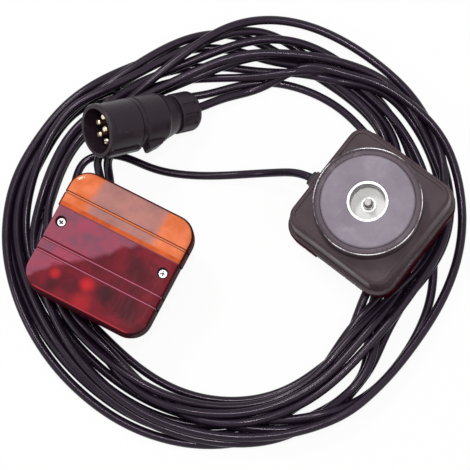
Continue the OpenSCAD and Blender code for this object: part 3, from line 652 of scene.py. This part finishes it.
class Finish(Graph):
    """A node material under construction, round one Principled shader."""

    def __init__(self, name, **plain):
        self.material = bpy.data.materials.new(name)
        self.material.use_nodes = True
        super().__init__(self.material.node_tree)
        self.out = self.add("ShaderNodeOutputMaterial")
        self.shader = self.add("ShaderNodeBsdfPrincipled")
        self.join(self.shader.outputs[0], self.out.inputs["Surface"])
        self.place = self.add("ShaderNodeTexCoord").outputs["Object"]
        for socket, value in plain.items():
            self.take(socket.replace("_", " "), value)

    def noise(self, scale, detail=4.0, rough=0.55, stretch=(1, 1, 1), warp=0.0):
        """Cloudy value from 0 to 1; scale is in patches per metre."""
        at = self.moved(self.place, scale=stretch)
        return self.add("ShaderNodeTexNoise", {"Scale": scale, "Detail": detail, "Roughness": rough,
                                               "Distortion": warp, "Vector": at}).outputs["Fac"]

    def moved(self, place, location=(0, 0, 0), rotation=(0, 0, 0), scale=(1, 1, 1)):
        return self.add("ShaderNodeMapping", {"Vector": place, "Location": location, "Rotation": rotation,
                                              "Scale": scale}).outputs[0]

    def within(self, value, edge, soft):
        """1 below an edge, fading to 0 over soft."""
        return self.ramp(value, edge, edge + soft, 1.0, 0.0)

    def beyond(self, value, edge, soft):
        """0 below an edge, rising to 1 over soft."""
        return self.ramp(value, edge, edge + soft)

    def plus(self, a, b):
        return self.reckon("ADD", a, b)

    def minus(self, a, b):
        return self.reckon("SUBTRACT", a, b)

    def times(self, a, b):
        return self.reckon("MULTIPLY", a, b)

    def unsigned(self, value):
        return self.reckon("ABSOLUTE", value)

    def distance(self, a, b):
        """Length of the slanting side over two square ones."""
        return self.reckon("SQRT", self.plus(self.reckon("POWER", a, 2.0), self.reckon("POWER", b, 2.0)))

    def blend(self, share, first, second):
        """Colour between two, by share."""
        first, second = [c if hasattr(c, "links") else (*c, 1) for c in (first, second)]
        return self.add("ShaderNodeMix", {0: share, 6: first, 7: second}, data_type="RGBA").outputs[2]

    def relief(self, height, strength, distance):
        """Bump from a height from 0 to 1; distance is its depth in metres."""
        node = self.add("ShaderNodeBump", {"Strength": strength, "Distance": distance, "Height": height})
        if self.shader.inputs["Normal"].links:
            self.join(self.shader.inputs["Normal"].links[0].from_socket, node.inputs["Normal"])
        self.join(node.outputs[0], self.shader.inputs["Normal"])

    def take(self, socket, value):
        """A socket of the shader follows a value."""
        self.feed(self.shader.inputs[socket], value)

    def grain(self, *pattern, strength, depth, **more):
        self.relief(self.noise(*pattern, **more), strength, depth)

    def colour(self, value):
        self.take("Base Color", value)

    def rough(self, value, smooth, dull, low=0.3, high=0.7):
        """Roughness from smooth to dull as a value goes from low to high."""
        self.take("Roughness", self.ramp(value, low, high, smooth, dull))

    def parts(self, place):
        return self.add("ShaderNodeSeparateXYZ", {0: place}).outputs

    def across(self, place):
        """Distance of a place from the z axis."""
        flat = self.moved(place, scale=(1, 1, 0))
        return self.add("ShaderNodeVectorMath", {0: flat}, operation="LENGTH").outputs["Value"]

    def line(self, value, at, half, soft):
        """1 where a value is within half of a place, fading to 0 over soft."""
        return self.within(self.unsigned(self.minus(value, at)), half, soft)

    def blob(self, x, y, size):
        """1 at a place seen along z, fading to 0 at a distance."""
        away = self.across(self.moved(self.place, location=(-x, -y, 0)))
        return self.ramp(away, 0.15 * size, size, 1.0, 0.0)

    def light_passes(self, tint):
        """Rays from lamps go through with a tint, so that they reach what lies behind."""
        clear = self.add("ShaderNodeBsdfTransparent", {"Color": (*tint, 1)})
        self.mix_in(self.add("ShaderNodeLightPath").outputs["Is Shadow Ray"], clear)

    def mix_in(self, share, other):
        """The surface is the shader, and another one by share."""
        inputs = {0: share, 1: self.shader.outputs[0], 2: other.outputs[0]}
        self.join(self.add("ShaderNodeMixShader", inputs).outputs[0], self.out.inputs["Surface"])


def lamp_space(f, lamp):
    """Place in the lamp's own space: the row's place moved back through the lamp's turn and tilt."""
    if lamp == "a":
        matrix = Matrix.Translation(to_frame(PLACE_A)) @ Matrix.Rotation(math.radians(TURN_A), 4, "Z")
    else:
        matrix = (Matrix.Translation(to_frame(PLACE_B))
                  @ Matrix.Rotation(math.radians(TILT_B), 4, "Y")
                  @ Matrix.Rotation(math.radians(TURN_B), 4, "Z") @ Matrix.Rotation(math.pi, 4, "X"))
    back = matrix.inverted()
    return f.moved(f.place, location=back.translation, rotation=back.to_euler("XYZ"))


def lamp_finish(name, lamp, **plain):
    """A finish whose patterns lie in the lamp's own space."""
    f = Finish(name + "_" + lamp, **plain)
    f.place = lamp_space(f, lamp)
    return f


def vinyl_sheath():
    """Cord sheath: smooth black vinyl with a trace of violet, dulled in long patches."""
    f = Finish("vinyl_sheath", Specular_IOR_Level=0.24, Specular_Tint=(1.0, 0.86, 1.0, 1.0))
    long_patch = f.noise(9, 3)
    dust = f.ramp(f.noise(38, 6, 0.7), 0.55, 0.8)
    body = f.blend(long_patch, (0.0075, 0.0045, 0.0115), (0.018, 0.010, 0.020))
    f.colour(f.blend(f.times(dust, 0.25), body, (0.07, 0.045, 0.065)))
    f.rough(f.plus(f.noise(60, 4), f.times(dust, 0.3)), 0.17, 0.32, high=0.9)
    f.grain(900, 3, strength=0.08, depth=0.0002)
    f.grain(70, 3, strength=0.15, depth=0.0005)
    return f.material


def moulded_black():
    """Plug: moulded black plastic with a trace of violet, fine grain and patches of dried mud."""
    f = Finish("moulded_black", Specular_IOR_Level=0.22)
    patch = f.noise(28, 5, 0.6)
    mud = f.ramp(f.noise(46, 7, 0.72, warp=0.6), 0.56, 0.74)
    rubbed = f.ramp(f.noise(160, 5, 0.75, stretch=(1, 0.3, 1)), 0.62, 0.74)
    body = f.blend(patch, (0.011, 0.006, 0.012), (0.028, 0.016, 0.025))
    body = f.blend(f.times(mud, 0.45), body, (0.085, 0.055, 0.048))
    f.colour(f.blend(f.times(rubbed, 0.3), body, (0.12, 0.09, 0.11)))
    f.rough(f.plus(patch, f.times(mud, 0.6)), 0.27, 0.6, low=0.25, high=1.1)
    f.grain(1500, 2, strength=0.25, depth=0.0002)
    f.grain(120, 4, strength=0.15, depth=0.0004)
    return f.material


def contact_plate():
    """Insert that holds the pins: dark brown plastic with a dull moulded face."""
    f = Finish("contact_plate", Specular_IOR_Level=0.2)
    f.colour(f.blend(f.noise(90, 5), (0.03, 0.017, 0.018), (0.085, 0.048, 0.042)))
    f.rough(f.noise(140, 4), 0.42, 0.65)
    f.grain(700, 3, strength=0.3, depth=0.0003)
    return f.material


def housing_moulding():
    """Back shell: dark brown moulded plastic with a spark grain and scuffs."""
    f = Finish("housing_moulding", Specular_IOR_Level=0.2)
    patch = f.noise(17, 5, 0.6)
    scuff = f.ramp(f.noise(210, 5, 0.75, stretch=(1, 0.12, 1), warp=0.4), 0.63, 0.72)
    body = f.blend(patch, tone(54, 38, 44), tone(78, 61, 66))
    f.colour(f.blend(f.times(scuff, 0.4), body, tone(112, 96, 102)))
    f.rough(f.noise(60, 4), 0.32, 0.5)
    f.grain(1300, 2, strength=0.3, depth=0.0003)
    f.relief(scuff, 0.15, 0.0002)
    return f.material


def seal_rubber():
    """Seals and grommets: soft black rubber with a bloom."""
    f = Finish("seal_rubber", Specular_IOR_Level=0.35)
    f.colour(f.blend(f.noise(120, 5), (0.012, 0.010, 0.013), (0.045, 0.036, 0.042)))
    f.rough(f.noise(200, 3), 0.5, 0.75)
    f.grain(900, 3, strength=0.3, depth=0.0003)
    return f.material


def reflector_white():
    """Reflector tray: white moulding, a little yellowed and smoky in patches."""
    f = Finish("reflector_white", Specular_IOR_Level=0.5)
    f.colour(f.blend(f.ramp(f.noise(40, 5), 0.35, 0.75), (0.74, 0.70, 0.64), (0.50, 0.44, 0.38)))
    f.rough(f.noise(90, 3), 0.22, 0.4)
    f.grain(500, 3, strength=0.1, depth=0.0003)
    return f.material


def zinc_plate():
    """Nut, bolt, holders: bright zinc with a dull bloom, finely pitted."""
    f = Finish("zinc_plate", Metallic=1.0)
    bloom_and_painted_reflection = f.noise(260, 6, 0.7)
    f.colour(f.blend(bloom_and_painted_reflection, (0.84, 0.82, 0.81), (0.46, 0.44, 0.44)))
    f.rough(bloom_and_painted_reflection, 0.2, 0.48, high=0.75)
    f.grain(1800, 4, strength=0.3, depth=0.0002)
    return f.material


def nut_zinc(lamp):
    """Nut and bolt in the recess: dull zinc, greyer on the nut than on its washer."""
    f = lamp_finish("nut_zinc", lamp, Metallic=0.75)
    across = f.across(f.place)
    bloom_and_painted_reflection = f.noise(420, 6, 0.7)
    nut = f.blend(bloom_and_painted_reflection, tone(176, 172, 172), tone(92, 86, 88))
    nut = f.blend(f.line(across, NUT_R, 0.0003, 0.0003), nut, tone(62, 56, 58))
    f.colour(f.blend(f.beyond(across, WASHER_R, 0.0004), nut, (0.93, 0.93, 0.91)))
    f.rough(bloom_and_painted_reflection, 0.25, 0.5, high=0.75)
    f.relief(bloom_and_painted_reflection, 0.2, 0.0002)
    return f.material


def off_screw(f, x, y):
    """How far a place is from the nearer lens screw: to its side, along the lens, and in all."""
    side = f.minus(f.unsigned(x), SCREW_X)
    along = f.minus(y, SCREW_Y)
    return side, along, f.distance(side, along)


def screw_zinc(lamp):
    """Lens screws: bright zinc, darker in the cross slot and round the rim."""
    f = Finish("screw_zinc_" + lamp, Metallic=0.7)
    x, y = f.parts(lamp_space(f, lamp))[:2]
    side, along, away = off_screw(f, x, y)
    one = f.line(f.plus(side, f.times(along, SLOT_TURN)), 0.0, 0.0004, 0.0002)
    other = f.line(f.minus(along, f.times(side, SLOT_TURN)), 0.0, 0.0004, 0.0002)
    slot = f.larger(one, other)
    slot = f.times(slot, f.within(away, SCREW_SLOT, 0.0003))
    # darker in the cross slot and round the head
    slot_and_rim_dark = f.larger(slot, f.beyond(away, SCREW_HEAD, 0.0003))
    bloom_and_painted_reflection = f.noise(420, 6, 0.7)
    f.colour(f.blend(slot_and_rim_dark, f.blend(bloom_and_painted_reflection, (0.95, 0.93, 0.93), (0.60, 0.57, 0.58)), tone(42, 26, 34)))
    f.rough(bloom_and_painted_reflection, 0.25, 0.5, high=0.75)
    f.relief(f.minus(1.0, slot), 0.5, 0.0004)
    return f.material


def pin_brass():
    """Pins and strips: brass, tarnished towards brown, scored where a socket has rubbed."""
    f = Finish("pin_brass", Metallic=1.0)
    tarnish = f.ramp(f.noise(170, 6, 0.7), 0.35, 0.75)
    f.colour(f.blend(tarnish, (0.98, 0.86, 0.66), (0.62, 0.42, 0.26)))
    f.rough(tarnish, 0.16, 0.42, low=0.0, high=1.0)
    f.grain(2000, 4, stretch=(1, 1, 0.1), strength=0.3, depth=0.0002)
    return f.material


def potting_resin(lamp):
    """Resin round the magnet: dark, with small bubbles and a fine dark line at the magnet."""
    f = lamp_finish("potting_resin", lamp, Specular_IOR_Level=0.25)
    across = f.across(f.place)
    seam = f.within(across, FERRITE_R, 0.0005)
    bubbles = f.ramp(f.noise(700, 2), 0.6, 0.72)
    body = f.blend(f.noise(60, 5), tone(76, 62, 72), tone(100, 84, 95))
    body = f.blend(f.times(bubbles, 0.5), body, tone(48, 36, 44))
    f.colour(f.blend(seam, body, tone(34, 24, 32)))
    f.rough(f.noise(80, 3), 0.32, 0.5)
    f.relief(bubbles, 0.4, 0.0004)
    return f.material


def bulb_glass():
    """Bulb: clear glass over a bright filament support, seen as one pale pearl."""
    f = Finish("bulb_glass", Transmission_Weight=0.55, IOR=1.45)
    f.colour(f.blend(f.noise(120, 3), (0.95, 0.93, 0.90), (0.80, 0.77, 0.74)))
    f.rough(f.noise(90, 3), 0.03, 0.09)
    f.light_passes((0.8, 0.79, 0.77))
    return f.material


def ground_ferrite(lamp):
    """Magnet face: violet grey ferrite, ground in one direction, with stains and pits."""
    f = lamp_finish("ground_ferrite", lamp, Specular_IOR_Level=0.25)
    cloud = f.noise(26, 6, 0.62)
    stain = f.ramp(f.noise(60, 7, 0.72, warp=0.7), 0.5, 0.72)
    grind = f.noise(900, 3, 0.6, stretch=(0.03, 1, 1))
    body = f.blend(f.ramp(cloud, 0.3, 0.7), (0.185, 0.155, 0.195), (0.270, 0.235, 0.285))
    body = f.blend(f.times(stain, 0.35), body, (0.40, 0.36, 0.40))
    f.colour(f.blend(f.ramp(grind, 0.55, 0.8, 0, 0.35), body, (0.17, 0.14, 0.17)))
    f.rough(cloud, 0.38, 0.55)
    f.relief(grind, 0.25, 0.0002)
    f.grain(1500, 4, strength=0.2, depth=0.0002)
    return f.material


def bright_disc(lamp):
    """Sleeve in the magnet: bright steel, turned, with faint rings and fingermarks, its bore darkened with
    painted shade.
    """
    f = lamp_finish("bright_disc", lamp, Metallic=1.0)
    across = f.across(f.place)
    # painted shade inside the bore
    painted_bore_shade = f.within(across, SLEEVE_BORE, 0.0002)
    marks = f.noise(70, 5, 0.6)
    f.colour(f.blend(painted_bore_shade, f.blend(marks, (0.90, 0.89, 0.89), (0.62, 0.60, 0.61)), (0.16, 0.15, 0.16)))
    f.rough(marks, 0.16, 0.36, high=0.75)
    f.grain(2500, 3, strength=0.15, depth=0.0001)
    return f.material


def painted_cup(lamp):
    """Magnet cup: black paint, rubbed through to steel in scratches and along the rim, where the broken
    bright band is partly rubbed steel and partly a painted highlight. At the bottom of the recess round
    the bolt it is bare, and painted near white as a painted reflection of the sky."""
    f = lamp_finish("painted_cup", lamp, Specular_IOR_Level=0.25)
    z = f.parts(f.place)[2]
    across = f.across(f.place)
    chips = f.noise(330, 6, 0.75)
    sides = f.noise(22, 2, 0.5)
    rim = f.times(f.beyond(across, CUP_RIM, 0.0005), f.ramp(z, 0.0010, 0.0003))
    # partly rubbed steel, partly a painted highlight: the bright band along the rim is broken in patches
    rim_wear_and_highlight = f.plus(rim, f.plus(f.times(chips, 0.5), f.times(sides, 1.3)))
    rim_wear_and_highlight = f.ramp(rim_wear_and_highlight, 1.78, 2.0)
    scratch = f.ramp(f.noise(520, 4, 0.8, stretch=(0.08, 1, 0.3), warp=0.3), 0.7, 0.75)
    bare_steel_and_highlight = f.larger(f.times(rim_wear_and_highlight, rim), f.times(scratch, 0.6))
    paint = f.blend(f.noise(50, 5), tone(40, 28, 34), tone(66, 52, 58))
    colour = f.blend(bare_steel_and_highlight, paint, (0.86, 0.83, 0.86))
    # painted reflection: the bare recess floor is painted near white, brighter than its shade would let it
    # be
    recess = f.within(across, RECESS_R, 0.0003)
    bright = f.blend(f.noise(150, 4), (0.97, 0.97, 0.95), (0.88, 0.88, 0.86))
    f.colour(f.blend(recess, colour, bright))
    f.rough(f.noise(110, 4), 0.3, 0.5)
    f.take("Metallic", f.times(bare_steel_and_highlight, 0.6))
    f.relief(bare_steel_and_highlight, 0.35, 0.0001)
    f.grain(900, 3, strength=0.15, depth=0.0003)
    return f.material


def lens_base(name, lamp):
    """What both lens halves share: acrylic with fine scratches, and how near the edge a place is."""
    f = lamp_finish(name, lamp, Transmission_Weight=0.08, IOR=1.49, Coat_Roughness=0.06,
                    Specular_IOR_Level=0.0)
    x, y = f.parts(f.place)[:2]
    haze = f.noise(420, 5, 0.7, stretch=(1, 0.15, 1))
    f.rough(haze, 0.1, 0.28, low=0.35, high=0.75)
    wide = f.larger(f.minus(f.unsigned(x), LENS_FLAT_X), 0.0)
    long = f.larger(f.minus(f.unsigned(y), LENS_FLAT_Y), 0.0)
    out = f.distance(wide, long)
    wall = f.beyond(out, LENS_ROUND, 0.0008)
    f.take("Coat Weight", f.ramp(wall, 0.0, 1.0, 0.4, 0.0))
    f.grain(240, 4, strength=0.12, depth=0.0004)
    return f, x, y, wall


def amber_lens(lamp):
    """Amber half: orange at both ends and along the joint, with a painted greyish pink reflection in
    between, painted shade on both sides of its groove round a painted highlight line, and a painted dark
    edge where the side wall is seen edge-on."""
    f, x, y, wall = lens_base("amber_lens", lamp)
    cloud = f.noise(38, 5, 0.65)
    ends = f.plus(f.unsigned(f.plus(x, 0.002)), f.times(cloud, 0.012))
    ends = f.ramp(ends, 0.029, 0.037)
    # painted reflection: greyish pink between the orange ends
    painted_grey_reflection = f.blend(f.ramp(cloud, 0.3, 0.7), tone(188, 128, 118), tone(158, 110, 108))
    patch = f.ramp(f.noise(60, 5, 0.6), 0.3, 0.7)
    orange = f.blend(patch, tone(236, 132, 88), tone(212, 104, 52))
    colour = f.blend(ends, painted_grey_reflection, orange)
    stripe = f.blend(f.ramp(cloud, 0.35, 0.65), tone(216, 96, 36), tone(172, 70, 32))
    colour = f.blend(f.line(y, JOINT_Y + 0.0017, 0.0014, 0.0004), colour, stripe)
    # painted shade on both sides of the groove, a painted highlight line down its middle
    colour = f.blend(f.line(y, GROOVE_YS[0], 0.0011, 0.0002), colour, tone(92, 34, 24))
    colour = f.blend(f.line(y, GROOVE_YS[0], 0.0005, 0.0002), colour, tone(226, 130, 84))
    # painted shade on the side wall, which is seen edge-on
    f.colour(f.blend(wall, colour, tone(72, 24, 22)))
    f.light_passes((0.95, 0.55, 0.30))
    return f.material


def red_lens(lamp):
    """Red half: a painted pale reflection over its upper left, clear dark red elsewhere with painted
    glints and painted shade where the lamp holder shows, painted shade along its grooves beside a painted
    highlight line, and a painted dark edge where the side wall is seen edge-on."""
    f, x, y, wall = lens_base("red_lens", lamp)
    cloud = f.noise(34, 5, 0.65, warp=0.4)
    clear = f.blend(f.ramp(cloud, 0.32, 0.68), tone(132, 18, 38), tone(84, 12, 28))
    # painted glints and painted shade where the lamp holder shows through
    for spot_x, spot_y, size, colour, share in RED_PAINTED_GLINTS_AND_SHADE:
        painted_spot = f.blob(spot_x * MM, spot_y * MM, size * MM)
        clear = f.blend(f.times(painted_spot, share), clear, colour)
    # painted reflection: a pale patch over the upper left stands in for the sky seen in the lens
    bloom_and_painted_reflection = f.minus(f.times(y, 1.1), x)
    bloom_and_painted_reflection = f.plus(bloom_and_painted_reflection, f.times(f.minus(cloud, 0.5), 0.03))
    bloom_and_painted_reflection = f.ramp(bloom_and_painted_reflection, -0.003, 0.004)
    patch = f.ramp(f.noise(70, 4), 0.35, 0.65)
    painted_pale_reflection = f.blend(patch, tone(172, 78, 102), tone(136, 84, 102))
    colour = f.blend(f.times(bloom_and_painted_reflection, 0.8), clear, painted_pale_reflection)
    colour = f.blend(f.line(y, JOINT_Y - 0.0004, 0.0004, 0.0002), colour, tone(122, 56, 70))
    # painted shade along each groove, with a thin painted highlight line beside it
    for groove_y in GROOVE_YS[1:]:
        colour = f.blend(f.line(y, groove_y, 0.0012, 0.0003), colour, tone(112, 10, 38))
        colour = f.blend(f.line(y, groove_y - 0.0004, 0.0002, 0.0002), colour, tone(196, 120, 146))
    away = off_screw(f, x, y)[2]
    colour = f.blend(f.within(away, SCREW_WELL, 0.0005), colour, tone(46, 10, 24))
    colour = f.blend(f.line(y, LENS_EDGE_Y, 0.0006, 0.0006), colour, tone(186, 52, 66))
    # painted shade on the side wall, which is seen edge-on
    f.colour(f.blend(wall, colour, tone(56, 12, 22)))
    f.light_passes((0.75, 0.10, 0.12))
    return f.material


def floor_paper():
    """Floor: white paper sweep; to the eye it is nearly white, and it keeps a soft shadow."""
    f = Finish("floor_paper", Specular_IOR_Level=0.1)
    f.colour(f.blend(f.noise(6, 2), (0.90, 0.90, 0.90), (0.92, 0.92, 0.92)))
    f.rough(f.noise(40, 2), 0.8, 0.95, low=0, high=1)
    f.mix_in(f.times(f.seen(), FLOOR_SHARE), f.add("ShaderNodeEmission", {"Strength": 1.0}))
    return f.material


def lay_floor():
    turn = np.linspace(0, 2 * np.pi, FLOOR_SIDES, endpoint=False)
    edge = np.stack([FLOOR_R * np.cos(turn), FLOOR_R * np.sin(turn), np.full(FLOOR_SIDES, -FLOOR_DROP)], 1)
    floor = new_mesh("floor", edge, [np.arange(FLOOR_SIDES)[None]], smooth=False)
    floor.data.materials.append(floor_paper())


def hang_sky():
    """White to the eye and in reflections, soft grey as a source of light."""
    world = bpy.data.worlds.new("sky")
    bpy.context.scene.world = world
    world.use_nodes = True
    sky = Graph(world.node_tree)
    strength = sky.ramp(sky.seen(), 0.0, 1.0, SKY_LIGHT, 1.0)
    back = sky.add("ShaderNodeBackground", {"Color": (1, 1, 1, 1), "Strength": strength})
    sky.add("ShaderNodeOutputWorld", {"Surface": back.outputs[0]})


def hang_lamp(name, place, power, size):
    """A round lamp turned to the middle of the floor: place and size in metres, power in watts."""
    data = bpy.data.lights.new(name, "AREA")
    data.shape = "DISK"
    data.energy = power
    data.size = size
    lamp = bpy.data.objects.new(name, data)
    bpy.context.scene.collection.objects.link(lamp)
    lamp.location = place
    lamp.rotation_euler = Vector(place).to_track_quat("Z", "Y").to_euler()


def dress(names, material):
    """Solids keep their meshes and take a finish."""
    for name in names:
        piece = nodes[name]
        if not piece.material_slots:
            piece.data.materials.append(None)
        for place in piece.material_slots:
            place.link = "OBJECT"
            place.material = material


def both(*names):
    """Names of the same pieces on lamp A and lamp B."""
    return [n + "_" + lamp for n in names for lamp in "ab"]


LAMP_FINISHES = [
    (["magnet_ring"], ground_ferrite), (["magnet_cup"], painted_cup), (["magnet_sleeve"], bright_disc),
    (["magnet_potting"], potting_resin), (["magnet_bolt", "magnet_nut"], nut_zinc),
    (["lens_screws"], screw_zinc), (["lens_amber"], amber_lens), (["lens_red"], red_lens),
]


def dress_all():
    """The solids of the lamps and the plug take their finishes."""
    black = moulded_black()
    zinc = zinc_plate()
    rubber = seal_rubber()
    brass = pin_brass()
    dress(["plug_shell", "plug_body", "plug_gland_nut"], black)
    dress(["plug_insert"], contact_plate())
    dress(["plug_solid_pins", "plug_split_pins"], brass)
    dress(["plug_terminal_screws"], zinc)
    dress(["plug_seal"], rubber)
    dress(both("housing"), housing_moulding())
    dress(both("reflector_tray"), reflector_white())
    dress(both("indicator_holder", "tail_holder"), zinc)
    dress(both("earth_strip", "feed_strips"), brass)
    dress(both("grommet", "lens_gasket"), rubber)
    dress(both("indicator_bulb", "tail_bulb"), bulb_glass())
    for lamp in "ab":
        for names, finish in LAMP_FINISHES:
            dress([name + "_" + lamp for name in names], finish(lamp))
    leads = ["plug_lead", "lamp_a_main_lead", "lamp_a_link_lead", "lamp_b_lead"]
    dress(["cable_coil"] + leads, vinyl_sheath())


bpy.context.scene.view_settings.view_transform = "Standard"
make_cords()
lay_floor()
hang_sky()
hang_lamp("key_lamp", (-0.45, 0.75, 1.3), 7, 0.3)
hang_lamp("top_lamp", (-0.02, 0.02, 1.6), 7, 0.13)
hang_lamp("pin_lamp", (-1.2, -0.35, 0.95), 3, 0.35)
hang_lamp("fill_lamp", (0.9, -0.5, 1.2), 2, 0.8)
dress_all()
